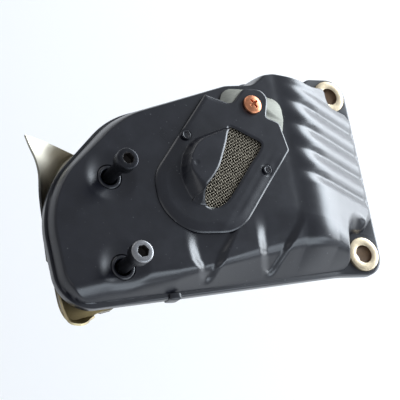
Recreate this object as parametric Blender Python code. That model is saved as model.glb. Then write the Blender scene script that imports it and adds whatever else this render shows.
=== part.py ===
"""Exhaust muffler of a small two-stroke engine, with a hooded spark-arrestor outlet.

Frame: +Z along the two mounting screws, towards the painted front. Z = 0 is the plane of the rear mounting faces.
The working lengths below are millimetres in the design frame, whose X = Y = 0 is the outlet cover's round end.
The empty "muffler_frame" carries that frame to the middle of the bounding box.
"""

import math

import bmesh
import bpy
import numpy as np

MM = 0.001

# ---------------------------------------------------------------- driving dimensions, mm
FRAME_CENTRE = (13.45, -0.3411)  # the bounding box's middle in the design frame
SHEET = 1.0  # shell sheet thickness
GAP = 0.15  # clearance between faces that touch on the real part

FACE_Z = 28.0  # flat front face
HUMP = 3.6  # how far the face rises towards the ribs
RIB_SLOPE = 0.526  # fall of the ribbed side
RIB_CREST_X = 49.1
HEM = 3.9  # height of the hem, less at the port end
FOOT_W = 3.4  # plan width of the steep walls
SEAM_LEFT = (-60.0, 22.0)  # x and height of the seam's underside at the port end
SEAM_RIGHT = (70.0, 7.0)

SCREW_X = -38.0
SCREW_YS = {"upper": -1.5, "lower": -37.0}
DISH_R = 11.0
DISH_FLOOR_R = 4.0
DISH_DEPTH = 1.6
SLEEVE_R = 4.9
SLEEVE_BORE_R = 3.1
SLEEVE_TOP = 27.0

SCREW_R = 2.5  # M5 socket-head cap screw
SCREW_LENGTH = 40.0
SCREW_HEAD_R = 4.25
SCREW_HEAD_H = 5.0
SCREW_KEY = 4.0  # across flats
SCREW_KEY_DEPTH = 2.8
SCREW_TIP_Z = 0.1  # the loose screws stand on their tips

EYELET_X = 83.0
EYELET_YS = {"upper": 45.5, "lower": -28.5}
BUSH_R = 7.4
BUSH_BORE_R = 3.9
BUSH_TOP = 9.2
RECESS_R = 9.3  # flat round the lower eyelet, below the conical wall

RIBS = 4
RIB_PITCH = 10.5
RIB_FIRST = (52.0, 32.7)  # groove below the topmost rib, where it starts
RIB_SKEW = -0.15
RIB_HEIGHT = 1.8
VALLEY_XS = (-1.0, 30.3)  # lower tip of each triangular recess between the pads of the lower slope
VALLEY_DEPTH = 2.1
# (distance from the lower edge, offset from the tip) along each side of a recess
VALLEY_LEFT = [(0, 0), (2.7, -1.5), (5, -3.5), (9.5, -6.5), (15, -7.2)]
VALLEY_RIGHT = [(0, 1), (4.8, 2.6), (7.9, 4.6), (10.8, 6), (14, 8.5), (18.6, 12), (26, 13)]
# (x, distance of the pads' crest from the lower edge)
PAD_CREST = [(-60, 3.4), (-40, 3.6), (-15, 4.4), (5, 6.6), (25, 9), (45, 10.5), (62, 8), (72, 4.5)]

COVER_Z = 28.8  # underside of the outlet cover
COVER_T = 0.7
COVER_RIM_DROP = 0.6
HOOD_HEIGHT = 5.0
PLATE_Z = 28.15
PLATE_T = 0.5
SCREEN_Z = 27.4
SCREEN_T = 0.6
COVER_SCREW = (28.5, 29.5)
RIVETS = {"left": (-4.1, 15.4), "right": (29.8, 1.1)}

PORT = (-38.0, -19.25)  # middle of the exhaust port
PORT_SIZE = (19.0, 17.0)
GASKET_T = 0.8
INLET_FLANGE = (0.95, 3.05)  # low and high face
SHIELD_Z = 3.2
SHIELD_T = 0.8
BACK_Z = 4.2  # outer face of the rear shell's floor

# ---------------------------------------------------------------- outlines: (x, y, corner radius)
BOTTOM_RISE = 0.1116  # the lower edge climbs towards the eyelets
BOTTOM_Y = -43.4
FOOT = [
    (-61.8, -50.2, 12), (72.8, -35.4, 3), (73.7, -19.6, 9), (85.5, -18.8, 6), (91.6, -12, 4),
    (91.6, 36.8, 5), (75, 37.5, 8), (75.4, 45.4, 3.5), (62, 45.2, 30), (43, 48.2, 10),
    (37, 47, 6), (31, 42.2, 5), (18.5, 41.2, 14), (-31.2, 25.4, 45), (-65.5, -8.2, 38),
]
RIM = [
    (-62.9, -52.4, 13.8), (70, -37.4, 40), (92.4, -37.6, 8.6), (92.4, 54.6, 8.6),
    (74.5, 54.2, 5), (60.5, 46.8, 10), (43, 49.3, 10), (36.4, 48.1, 6), (30.7, 43.3, 5), (18.3, 42.2, 14),
    (-32, 26, 45), (-66.3, -7.9, 38),
]
REAR_FLOOR = [(-51.3, -52, 10), (90, -45, 5), (90, 60, 5), (-51.3, 60, 5)]
COVER = [
    (-20.2, -0.6, 14), (-20.2, -14.6, 18.5), (-9.4, -24.9, 18.5), (13.4, -24.9, 18.5), (42.4, 10.2, 1.4),
    (40.2, 22.2, 2.4), (34.4, 24.6, 1.2), (38.2, 36.9, 5.5), (26.2, 37.1, 5), (19.4, 29.6, 4), (8, 33.8, 0.7),
]
PLATE = [
    (-15.2, -2.1, 10), (-15.2, -12.1, 13.5), (-7.3, -20, 13.5), (10.9, -20, 13.5), (37, 8.2, 3), (41, 17.5, 6),
    (42.9, 24, 8), (42.9, 32.4, 7.5), (33, 34.6, 3), (27, 36.8, 4), (16.6, 36.9, 8), (13.6, 28.5, 1.5),
]
SCREEN = [(15.5, 23.8, 2.5), (36.1, 13.8, 3), (9.5, -17.3, 5), (-4.5, -15, 5), (-6.5, 4, 6), (1, 13, 5)]
WINDOW = [
    (17.3, 19.5), (15.2, 18.4), (12.4, 15.2), (10.7, 11), (8.2, 5.6), (5.4, 0.2), (2.5, -3.5), (-1, -7.2),
    (-2.2, -10), (-1.4, -12.8), (0.6, -14.6), (2.7, -15), (6.2, -14.1), (10, -11.5), (14.3, -6.7), (18.8, -1.4),
    (23.3, 4), (27.8, 9), (29.6, 11.9), (28.9, 13.6), (24.5, 15.9),
]
HOOD_BASE = [
    (17.3, 19.5), (14, 19), (9.7, 17.7), (3.7, 15.6), (-0.6, 13.9), (-4.2, 11.1), (-7.4, 6.7), (-9.1, 1.4),
    (-9.5, -1.7), (-8.8, -5.9), (-7.4, -10), (-5.9, -12.3), (-3.4, -13.9), (0.6, -14.6),
]


# ---------------------------------------------------------------- plane geometry
def rounded(corners, step=12.0):
    """Closed outline with an arc at each corner, as an (n, 2) array. step is degrees per point on an arc."""
    points = []
    count = len(corners)
    for i, (x, y, r) in enumerate(corners):
        here = np.array([x, y], float)
        back = np.array(corners[i - 1][:2], float) - here
        ahead = np.array(corners[(i + 1) % count][:2], float) - here
        room = 0.499 * min(np.linalg.norm(back), np.linalg.norm(ahead))
        back = back / np.linalg.norm(back)
        ahead = ahead / np.linalg.norm(ahead)
        half = math.acos(max(-1, min(1, back @ ahead))) / 2
        reach = min(r / math.tan(half), room)
        r = reach * math.tan(half)
        middle = here + (back + ahead) / np.linalg.norm(back + ahead) * r / math.sin(half)
        start = here + back * reach - middle
        end = here + ahead * reach - middle
        turn = math.atan2(start[0] * end[1] - start[1] * end[0], start @ end)
        steps = max(1, round(abs(math.degrees(turn)) / step))
        for k in range(steps + 1):
            a = turn * k / steps
            spin = np.array([[math.cos(a), -math.sin(a)], [math.sin(a), math.cos(a)]])
            points.append(middle + spin @ start)
    return np.array(points)


def spline(points, steps):
    """Closed smooth curve through the points, with steps points from each to the next."""
    p1 = np.array(points, float)
    p0, p2, p3 = np.roll(p1, 1, axis=0), np.roll(p1, -1, axis=0), np.roll(p1, -2, axis=0)
    curve = []
    for k in range(steps):
        t = k / steps
        curve.append(0.5 * (
            2 * p1 + (p2 - p0) * t + (2 * p0 - 5 * p1 + 4 * p2 - p3) * t ** 2 + (3 * p1 - p0 - 3 * p2 + p3) * t ** 3))
    return np.stack(curve, axis=1).reshape(-1, 2)


def distance(xy, line, closed=True):
    """Distance of each point to the polyline."""
    a = line if closed else line[:-1]
    b = np.roll(line, -1, axis=0) if closed else line[1:]
    best = np.full(len(xy), np.inf)
    for p, q in zip(a, b):
        d = q - p
        length2 = d @ d
        if length2 < 1e-12:
            continue
        t = np.clip(((xy - p) @ d) / length2, 0, 1)
        best = np.minimum(best, np.linalg.norm(xy - p - t[:, None] * d, axis=1))
    return best


def inside(xy, outline):
    """True for each point within the closed outline."""
    odd = np.zeros(len(xy), bool)
    for (x0, y0), (x1, y1) in zip(outline, np.roll(outline, -1, axis=0)):
        if y0 == y1:
            continue
        crosses = (y0 > xy[:, 1]) != (y1 > xy[:, 1])
        odd ^= crosses & (xy[:, 0] < x0 + (xy[:, 1] - y0) * (x1 - x0) / (y1 - y0))
    return odd


def reach(outline, pole, angles):
    """Distance from pole to the outline along each angle. The outline is seen whole from the pole."""
    found = np.zeros(len(angles))
    a = outline - pole
    b = np.roll(outline, -1, axis=0) - pole
    for i, angle in enumerate(angles):
        u = np.array([math.cos(angle), math.sin(angle)])
        side_a = u[0] * a[:, 1] - u[1] * a[:, 0]
        side_b = u[0] * b[:, 1] - u[1] * b[:, 0]
        hit = (side_a <= 0) & (side_b > 0) | (side_a > 0) & (side_b <= 0)
        t = side_a[hit] / (side_a[hit] - side_b[hit])
        p = a[hit] + t[:, None] * (b[hit] - a[hit])
        found[i] = (p @ u).max()
    return found


def smooth(low, high, value):
    t = np.clip((value - low) / (high - low), 0, 1)
    return t * t * (3 - 2 * t)


def soft_min(a, b, k):
    """The smaller of a and b, with the corner between them rounded over k."""
    h = np.clip(0.5 + 0.5 * (b - a) / k, 0, 1)
    return b + (a - b) * h - k * h * (1 - h)


# ---------------------------------------------------------------- the front shell's form
def seam_z(x):
    return np.interp(x, [SEAM_LEFT[0], SEAM_RIGHT[0]], [SEAM_LEFT[1], SEAM_RIGHT[1]])


def rib_wave(across):
    """Height of the ribs, 0 to 1: a narrow groove at each whole pitch, steep up to the crest beyond it, then gentle."""
    place = np.clip(across, -(RIBS - 1) * RIB_PITCH, 0.999 * RIB_PITCH) / RIB_PITCH
    part = place - np.floor(place)
    wave = np.sin(math.pi * part ** 0.75) ** 1.5
    return wave + 0.85 * smooth(0, 5, -(RIBS - 1) * RIB_PITCH - across)


def face_z(x, y):
    """Front face and ribbed side, before the walls are turned down."""
    flat = FACE_Z + HUMP * smooth(42, 58, x)
    fall = FACE_Z + HUMP - RIB_SLOPE * (x - RIB_CREST_X)
    z = soft_min(flat, fall, 9)
    across = y - (RIB_FIRST[1] + RIB_SKEW * (x - RIB_FIRST[0]))
    band = smooth(9.5, 6, across) * smooth(-(RIBS + 1) * RIB_PITCH, -(RIBS - 0.2) * RIB_PITCH, across)
    z = z + RIB_HEIGHT * (rib_wave(across) - 0.7) * band * smooth(RIB_FIRST[0] - 7, RIB_FIRST[0] + 9, x)
    for screw_y in SCREW_YS.values():
        r = np.hypot(x - SCREW_X, y - screw_y)
        z = z - DISH_DEPTH * (1 - smooth(DISH_FLOOR_R, DISH_R, r))
    return z


def lower_slope(x, low):
    """Share of the full height at a distance from the lower edge: flat pads, a crest, then a gentle roll."""
    t = low / np.interp(x, *zip(*PAD_CREST))
    roll = 0.84 + 0.16 * (1 - (1 - np.clip((t - 1) / 1.4, 0, 1)) ** 2)
    return np.clip(soft_min(0.84 * t, roll, 0.16 + 0.25 * smooth(-5, -35, x)), 0, 1)


def valleys(x, low):
    """Depth of the triangular recesses between the pads."""
    depth = 0
    for tip in VALLEY_XS:
        left = tip + np.interp(low, *zip(*VALLEY_LEFT))
        right = tip + np.interp(low, *zip(*VALLEY_RIGHT))
        depth = depth + smooth(left - 2, left + 2, x) * smooth(right + 1.4, right - 1.4, x)
    return VALLEY_DEPTH * depth * smooth(0.5, 4, low) * (1 - smooth(10, 26, low))


def shell_z(xy, foot):
    """Height of the front shell's outer surface."""
    x, y = xy[:, 0], xy[:, 1]
    base = seam_z(x) + SHEET
    depth = np.where(inside(xy, foot), distance(xy, foot), 0)
    crisp = 1 - 0.5 * (1 - smooth(9, 20, np.hypot(x - EYELET_X, y - EYELET_YS["upper"]))) - 0.4 * smooth(-30, -58, x)
    steep = 1 - (1 - np.clip(depth / (FOOT_W * crisp), 0, 1)) ** 2
    low = np.maximum(y - (BOTTOM_Y + BOTTOM_RISE * x), 0)
    share = np.minimum(1.02 * soft_min(steep, lower_slope(x, low), 0.06), 1)
    z = base + (face_z(x, y) - base) * share - valleys(x, low)
    dx = x - EYELET_X
    r = np.maximum(np.hypot(dx, y - EYELET_YS["lower"]), 1)
    cone = base + 0.6 + (1.15 + 1.3 * np.clip(-dx / r, 0, 1) ** 2) * (r - RECESS_R)
    z = np.where(r < 40, soft_min(z, np.maximum(cone, base), 2), z)
    return np.maximum(z, base)


def offset_rings(rings, by):
    """The same grid of rings moved inwards along its normals."""
    grid = np.array(rings)
    across = np.gradient(grid, axis=0)
    around = np.roll(grid, -1, axis=1) - np.roll(grid, 1, axis=1)
    normal = np.cross(across, around)
    normal /= np.linalg.norm(normal, axis=2, keepdims=True)
    normal *= np.sign(normal[..., 2:])
    return list(grid - normal * by)


# ---------------------------------------------------------------- making objects
frame = None
materials = {}


def material(name, colour, metallic, roughness):
    made = bpy.data.materials.new(name)
    made.use_nodes = True
    shader = made.node_tree.nodes["Principled BSDF"]
    shader.inputs["Base Color"].default_value = (*colour, 1)
    shader.inputs["Metallic"].default_value = metallic
    shader.inputs["Roughness"].default_value = roughness
    materials[name] = made


def finish(obj, paint, smooth_angle=35):
    if paint:
        obj.data.materials.append(materials[paint])
    obj.data.shade_smooth()
    obj.data.set_sharp_from_angle(angle=math.radians(smooth_angle))
    obj.parent = frame
    return obj


def from_bmesh(name, bm, paint):
    bmesh.ops.recalc_face_normals(bm, faces=bm.faces)
    mesh = bpy.data.meshes.new(name)
    bm.to_mesh(mesh)
    bm.free()
    obj = bpy.data.objects.new(name, mesh)
    bpy.context.scene.collection.objects.link(obj)
    return finish(obj, paint)


def prism(name, outline, low, high, paint=None):
    """Straight-sided plate over an outline."""
    bm = bmesh.new()
    face = bm.faces.new([bm.verts.new((x * MM, y * MM, low * MM)) for x, y in outline])
    made = bmesh.ops.extrude_face_region(bm, geom=[face])
    lifted = [v for v in made["geom"] if isinstance(v, bmesh.types.BMVert)]
    bmesh.ops.translate(bm, vec=(0, 0, (high - low) * MM), verts=lifted)
    return from_bmesh(name, bm, paint)


def turned(name, profile, at, paint=None, segments=28):
    """Solid of revolution about a vertical axis through at. profile is (radius, z), and ends on the axis or closes."""
    bm = bmesh.new()
    closes = profile[0][0] > 0 and profile[-1][0] > 0
    points = list(profile) + ([profile[0]] if closes else [])
    verts = [bm.verts.new((r * MM, 0, z * MM)) for r, z in points]
    edges = [bm.edges.new(pair) for pair in zip(verts, verts[1:])]
    bmesh.ops.spin(
        bm, geom=verts + edges, axis=(0, 0, 1), cent=(0, 0, 0), dvec=(0, 0, 0),
        angle=2 * math.pi, steps=segments, use_merge=True,
    )
    bmesh.ops.remove_doubles(bm, verts=bm.verts, dist=1e-7)
    obj = from_bmesh(name, bm, paint)
    obj.location = (at[0] * MM, at[1] * MM, 0)
    return obj


def hexagon(flats, turn=0.0):
    r = flats / math.sqrt(3)
    return [(r * math.cos(turn + k * math.pi / 3), r * math.sin(turn + k * math.pi / 3)) for k in range(6)]


def circle(r, at=(0, 0), points=28):
    return [
        (at[0] + r * math.cos(2 * math.pi * k / points), at[1] + r * math.sin(2 * math.pi * k / points))
        for k in range(points)
    ]


def cut(obj, cutter, label):
    """Takes cutter out of obj with an exact Boolean. The cutter stays as a hidden wire guide."""
    cutter.name = f"cutter_{obj.name}_{label}"
    cutter.hide_render = True
    cutter.display_type = "WIRE"
    tool = obj.modifiers.new(label, "BOOLEAN")
    tool.operation = "DIFFERENCE"
    tool.solver = "EXACT"
    tool.object = cutter


def bore(obj, r, at, low, high, label, points=28):
    cut(obj, prism("bore", circle(r, at, points), low, high), label)


def rings_solid(name, layers, paint, hollow=False):
    """Closed solid from (n, 3) rings in order. A hollow one joins its last ring to its first."""
    bm = bmesh.new()
    loops = [[bm.verts.new(tuple(p * MM)) for p in ring] for ring in layers]
    n = len(loops[0])
    for low, high in zip(loops, loops[1:] + loops[:1] if hollow else loops[1:]):
        for i in range(n):
            bm.faces.new((low[i], low[(i + 1) % n], high[(i + 1) % n], high[i]))
    for loop, ring in () if hollow else ((loops[0], layers[0]), (loops[-1], layers[-1])):
        hub = bm.verts.new(tuple(ring.mean(axis=0) * MM))
        for i in range(n):
            bm.faces.new((loop[i], loop[(i + 1) % n], hub))
    bmesh.ops.triangulate(bm, faces=bm.faces)
    return from_bmesh(name, bm, paint)


def polar(pole, radius, angles):
    return np.stack([pole[0] + radius * np.cos(angles), pole[1] + radius * np.sin(angles)], axis=1)


def lifted(xy, z):
    return np.column_stack([xy, np.broadcast_to(z, len(xy))])


# ---------------------------------------------------------------- the two shells and what is between them
SHELL_POLE = np.array([12.0, 2.0])


def shell_angles():
    """Directions from the pole: close together over the ribs and the gussets, wide apart elsewhere."""
    stops = [(-95, -32, 28), (-32, 44, 36), (44, 265, 32)]
    parts = [np.linspace(a, b, n, endpoint=False) for a, b, n in stops]
    return np.radians(np.concatenate(parts))


def build_front_shell():
    """Pressed and painted shell: outlet opening, dished face, ribs, gussets, walls, and the hem rolled at the seam."""
    angles = shell_angles()
    foot = rounded(FOOT, 8)
    rim = rounded(RIM, 8)
    at_foot = reach(foot, SHELL_POLE, angles)
    at_rim = reach(rim, SHELL_POLE, angles)
    opening = reach(grown(rounded(SCREEN, 20), 0.7), SHELL_POLE, angles)
    shares = [0, 0.13, 0.26, 0.38, 0.5, 0.6, 0.69, 0.77, 0.84, 0.9, 0.945, 0.975, 1.0]

    outer = []
    for share in shares:
        xy = polar(SHELL_POLE, opening + (at_foot - opening) * share, angles)
        outer.append(lifted(xy, seam_z(xy[:, 0]) + SHEET if share == 1.0 else shell_z(xy, foot)))
    inner = offset_rings(outer, SHEET)
    inner[0] = outer[0] - [0, 0, SHEET]
    xy = polar(SHELL_POLE, at_foot - 1.15 * SHEET, angles)
    inner[-1] = lifted(xy, seam_z(xy[:, 0]))

    def around(inset, drop):
        xy = polar(SHELL_POLE, at_rim - inset, angles)
        return lifted(xy, seam_z(xy[:, 0]) + SHEET - drop)

    hem = np.interp(SHELL_POLE[0] + at_rim * np.cos(angles), [-60, -15], [3.0, HEM])
    layers = outer + [around(0.5, 0.0), around(0, 0.5), around(0, hem), around(0.8, hem), around(0.8, SHEET)]
    layers += inner[::-1]
    shell = rings_solid("front_shell", layers, "black_paint", hollow=True)
    bore(shell, 2.3, COVER_SCREW, 20, 35, "cover_screw", 22)
    for side, y in SCREW_YS.items():
        bore(shell, SLEEVE_R + GAP, (SCREW_X, y), 10, 40, f"sleeve_{side}")
    for side, y in EYELET_YS.items():
        bore(shell, BUSH_R + GAP, (EYELET_X, y), 0, 20, f"eyelet_{side}")


def grown(outline, by):
    """Outline moved outwards by a distance, for outlines without tight hollows."""
    ahead = np.roll(outline, -1, axis=0) - outline
    behind = outline - np.roll(outline, 1, axis=0)
    keep = (np.linalg.norm(ahead, axis=1) > 1e-6) & (np.linalg.norm(behind, axis=1) > 1e-6)
    outline, ahead, behind = outline[keep], ahead[keep], behind[keep]
    along = ahead / np.linalg.norm(ahead, axis=1)[:, None] + behind / np.linalg.norm(behind, axis=1)[:, None]
    along = along / np.linalg.norm(along, axis=1)[:, None]
    area = 0.5 * np.sum(outline[:, 0] * np.roll(outline[:, 1], -1) - outline[:, 1] * np.roll(outline[:, 0], -1))
    out = np.stack([along[:, 1], -along[:, 0]], axis=1) * (1 if area > 0 else -1)
    return outline + out * by


def build_rear_shell():
    """Shallow tray whose flange lies in the front shell's hem. Its floor carries the port and both sleeves."""
    angles = shell_angles()
    at_rim = reach(rounded(RIM, 8), SHELL_POLE, angles) - 1.0
    at_foot = np.minimum(reach(rounded(FOOT, 8), SHELL_POLE, angles), at_rim)
    at_foot = at_foot - 0.9 - 3.6 * smooth(-45, -60, polar(SHELL_POLE, at_foot, angles)[:, 0])
    flange_top = 1.5

    def level(radius, z=None, drop=0.0):
        xy = polar(SHELL_POLE, radius, angles)
        return lifted(xy, seam_z(xy[:, 0]) - flange_top - drop if z is None else z)

    wall = polar(SHELL_POLE, at_foot, angles)
    draft = 1.2 + 0.42 * (seam_z(wall[:, 0]) - flange_top - SHEET - BACK_Z)
    draft = np.maximum(draft, at_foot - reach(rounded(REAR_FLOOR, 8), SHELL_POLE, angles))
    inner = [
        level((at_foot - draft - SHEET) * 0.02, BACK_Z + SHEET),
        level(at_foot - draft - 1.2 - SHEET, BACK_Z + SHEET),
        level(at_foot - draft - 0.2, BACK_Z + SHEET + 0.6),
        level(at_foot - 0.5, drop=0.4),
        level(at_foot),
    ]
    outer = [
        level(at_foot + 0.2, drop=SHEET),
        level(at_foot - 0.3, drop=SHEET + 0.5),
        level(at_foot - draft + 0.4, BACK_Z + 0.5),
        level(at_foot - draft - 0.6, BACK_Z),
        level((at_foot - draft) * 0.02, BACK_Z),
    ]
    layers = inner + [level(at_rim), level(at_rim, drop=SHEET)] + outer
    shell = rings_solid("rear_shell", layers, "bare_steel")
    for side, y in SCREW_YS.items():
        bore(shell, SLEEVE_R + GAP, (SCREW_X, y), 0, 30, f"sleeve_{side}")
    for side, y in EYELET_YS.items():
        bore(shell, BUSH_R + GAP, (EYELET_X, y), 0, 20, f"eyelet_{side}")
    cut(shell, prism("port", port_outline(0), 0, 12), "port")


def port_outline(grow):
    (x, y), (w, h) = PORT, PORT_SIZE
    w, h = w / 2 + grow, h / 2 + grow
    return rounded([(x - w, y - h, 5), (x + w, y - h, 5), (x + w, y + h, 5), (x - w, y + h, 5)], 22.5)


def build_baffle():
    """Perforated plate clamped in the seam, between the inlet chamber and the outlet chamber."""
    angles = shell_angles()
    top, thickness = 0.4, 0.7
    at_foot, at_rim = (reach(rounded(outline, 8), SHELL_POLE, angles) for outline in (FOOT, RIM))
    radius = np.minimum(at_foot - 0.3, at_rim - 1.5)
    layers = []
    for share, drop in ((0.02, top), (1.0, top), (1.0, top + thickness), (0.02, top + thickness)):
        xy = polar(SHELL_POLE, radius * share, angles)
        tilt = SEAM_LEFT[1] + (xy[:, 0] - SEAM_LEFT[0]) * (SEAM_RIGHT[1] - SEAM_LEFT[1]) / (
            SEAM_RIGHT[0] - SEAM_LEFT[0])
        layers.append(lifted(xy, np.where(xy[:, 0] > SEAM_RIGHT[0], SEAM_RIGHT[1], tilt) - drop))
    plate = rings_solid("baffle_plate", layers, "bare_steel")
    for side, y in SCREW_YS.items():
        bore(plate, SLEEVE_R + 0.4, (SCREW_X, y), 0, 30, f"sleeve_{side}")
    for row in range(3):
        for column in range(5):
            at = (19.4 + 9 * column, -14.3 + 12 * row + 3 * (column % 2))
            bore(plate, 2.5, at, 0, 30, f"hole_{row}{column}", 12)


def build_diffuser():
    """Perforated pan over the port, which spreads the gas into the inlet chamber."""
    low, high, sheet = BACK_Z + SHEET + GAP, 12.5, 0.8
    pan = prism("inlet_diffuser", port_outline(0.8 + sheet), low, high, "bare_steel")
    cut(pan, prism("hollow", port_outline(0.8), low - 1, high - sheet), "hollow")
    half_x, half_y = PORT_SIZE[0] / 2 + 4, PORT_SIZE[1] / 2 + 4
    for k, offset in enumerate((-9, -3, 3, 9)):
        slot = [(-1.5, -half_y), (1.5, -half_y), (1.5, half_y), (-1.5, half_y)]
        outline = [(PORT[0] + offset + x, PORT[1] + y) for x, y in slot]
        cut(pan, prism("slot", outline, low + 2.2, high - 2.2), f"slot_{k}")
    slot = [(-half_x, -2.5), (half_x, -2.5), (half_x, 2.5), (-half_x, 2.5)]
    outline = [(PORT[0] + x, PORT[1] + y) for x, y in slot]
    cut(pan, prism("slot", outline, low + 2.2, high - 2.2), "slot_end")


def build_outlet_duct():
    """Box under the outlet opening, open towards the screen, which takes gas in through its slotted walls."""
    wall = 0.8
    rim = grown(rounded(SCREEN, 30), -0.6)
    low, high = 21.0, 26.4
    duct = prism("outlet_duct", rim, low, high, "bare_steel")
    cut(duct, prism("hollow", grown(rim, -wall), low + wall, high + 1), "hollow")
    slot = [(-30, -1.6), (60, -1.6), (60, 1.6), (-30, 1.6)]
    turn = math.radians(-28)
    for k, (x, y) in enumerate(((17, 8), (7, -6))):
        outline = [
            (x + px * math.cos(turn) - py * math.sin(turn), y + px * math.sin(turn) + py * math.cos(turn))
            for px, py in slot
        ]
        cut(duct, prism("slot", outline, low + 2, high - 1.4), f"slot_{k}")


def build_seam_clip():
    """Small tab folded round the hem at the lower edge."""
    x, width = -14.5, 4.6
    y = -46.05
    z = seam_z(x) + SHEET
    section = [
        (-1.2, 0.45), (0.6, 0.45), (0.6, 1.25), (-2.0, 1.25), (-2.0, -5.2), (0.4, -5.2), (0.4, -4.4), (-1.2, -4.4),
    ]
    bm = bmesh.new()
    face = bm.faces.new([bm.verts.new(((x - width / 2) * MM, (y + a) * MM, (z + b) * MM)) for a, b in section])
    made = bmesh.ops.extrude_face_region(bm, geom=[face])
    moved = [v for v in made["geom"] if isinstance(v, bmesh.types.BMVert)]
    bmesh.ops.translate(bm, vec=(width * MM, 0, 0), verts=moved)
    from_bmesh("seam_clip", bm, "black_paint")


# ---------------------------------------------------------------- rear mounting pieces
def build_inlet_flange():
    """Thick plate and its gasket, which seat on the cylinder: an eye round each screw, and the port between them."""
    ear = 10.0
    outline = []
    for side, sign in (("lower", -1), ("upper", 1)):
        for k in range(9):
            a = math.radians(180 + 22.5 * k if sign < 0 else 22.5 * k)
            outline.append((SCREW_X + ear * math.cos(a), SCREW_YS[side] + ear * math.sin(a)))
        waist = 19.0
        outline += [(SCREW_X - sign * waist, PORT[1] + sign * 6), (SCREW_X - sign * waist, PORT[1] - sign * 6)]
    plate = prism("inlet_flange", outline, *INLET_FLANGE, "bare_steel")
    gasket = prism("exhaust_gasket", outline, 0, GASKET_T, "gasket_fibre")
    for piece in (plate, gasket):
        for side, y in SCREW_YS.items():
            bore(piece, SLEEVE_BORE_R, (SCREW_X, y), -5, 10, f"screw_{side}")
        cut(piece, prism("port", port_outline(-1), -5, 10), "port")


def build_heat_shield():
    """Plate between flange and rear shell. Its left edge turns up round the rear shell and flares at the top."""
    # (base x, y), outward flange (dx, dy), flange height: from the flared top, down the left, round the corner
    path = [
        ((-41, 17.3), (-24.5, 2), 12.8), ((-46, 13.5), (-18.3, 0.6), 13.2), ((-49.5, 9), (-13.4, 0), 13.6),
        ((-52, 3), (-10.4, 0), 13.8), ((-54.2, -6), (-9, 0), 13.8), ((-55.3, -18), (-7.8, 0), 13.6),
        ((-55.9, -30), (-6.5, 0), 13.4), ((-55.6, -40), (-5.4, -0.5), 13.0), ((-54.8, -45.5), (-5, -2.5), 12.6),
        ((-53, -49.2), (-4.6, -4.6), 12.0), ((-50.2, -50.6), (-2.4, -4.4), 11.0), ((-47.2, -50), (-1.2, -3.4), 7.8),
        ((-44.8, -49.4), (-0.5, -1.8), 3.6), ((-42.4, -49.1), (0, -0.5), 1.2),
    ]
    inner_x = -13.0
    bm = bmesh.new()
    rows = []
    for k, ((x, y), (dx, dy), height) in enumerate(path):
        share = k / (len(path) - 1)
        anchor = (inner_x, 17.3 - 55.3 * share)
        points = [(*anchor, 0), ((anchor[0] + x) / 2, (anchor[1] + y) / 2, 0), (x + 1.2, y + (dy < 0) * 1.2, 0)]
        points += [(x + dx * s, y + dy * s, height * h) for s, h in ((0.08, 0.09), (0.5, 0.55), (1, 1))]
        rows.append([bm.verts.new((px * MM, py * MM, (SHIELD_Z + pz) * MM)) for px, py, pz in points])
    for a, b in zip(rows, rows[1:]):
        for j in range(len(a) - 1):
            bm.faces.new((a[j], b[j], b[j + 1], a[j + 1]))
    shield = from_bmesh("heat_shield", bm, "shield_steel")
    wall = shield.modifiers.new("thickness", "SOLIDIFY")
    wall.thickness = SHIELD_T * MM
    wall.offset = 1 if shield.data.polygons[0].normal.z > 0 else -1
    for side, y in SCREW_YS.items():
        bore(shield, SLEEVE_BORE_R, (SCREW_X, y), 0, 10, f"screw_{side}")
    cut(shield, prism("port", port_outline(-0.5), 0, 10), "port")


def build_sleeves():
    """Through tubes for the mounting screws, from the rear shell's floor to a rolled mouth in the front dish."""
    foot = SHIELD_Z + SHIELD_T + GAP
    for side, y in SCREW_YS.items():
        profile = [
            (SLEEVE_BORE_R, foot), (SLEEVE_R, foot), (SLEEVE_R, SLEEVE_TOP - 0.7), (SLEEVE_R - 0.5, SLEEVE_TOP),
            (SLEEVE_BORE_R + 0.5, SLEEVE_TOP), (SLEEVE_BORE_R, SLEEVE_TOP - 0.6),
        ]
        turned(f"screw_sleeve_{side}", profile, (SCREW_X, y), "black_paint")


def build_mounting_screws():
    under = SCREW_TIP_Z + SCREW_LENGTH
    top = under + SCREW_HEAD_H
    for side, y in SCREW_YS.items():
        profile = [
            (0, SCREW_TIP_Z), (SCREW_R - 0.7, SCREW_TIP_Z), (SCREW_R, SCREW_TIP_Z + 0.8), (SCREW_R, under),
            (SCREW_HEAD_R - 0.2, under), (SCREW_HEAD_R, under + 0.3), (SCREW_HEAD_R, top - 0.5),
            (SCREW_HEAD_R - 0.5, top), (0, top),
        ]
        screw = turned(f"mounting_screw_{side}", profile, (SCREW_X, y), "steel_screw")
        at = [(SCREW_X + hx, y + hy) for hx, hy in hexagon(SCREW_KEY, math.radians(10))]
        cut(screw, prism("key", at, top - SCREW_KEY_DEPTH, top + 2), "socket")


def build_bushes():
    for side, y in EYELET_YS.items():
        chamfer = 0.4
        profile = [
            (BUSH_BORE_R, chamfer), (BUSH_BORE_R + chamfer, 0), (BUSH_R - chamfer, 0), (BUSH_R, chamfer),
            (BUSH_R, BUSH_TOP - chamfer), (BUSH_R - chamfer, BUSH_TOP), (BUSH_BORE_R + chamfer, BUSH_TOP),
            (BUSH_BORE_R, BUSH_TOP - chamfer),
        ]
        turned(f"eyelet_bush_{side}", profile, (EYELET_X, y), "brass_plate", 32)


# ---------------------------------------------------------------- outlet
COVER_POLE = np.array([12.0, 5.0])


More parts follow.
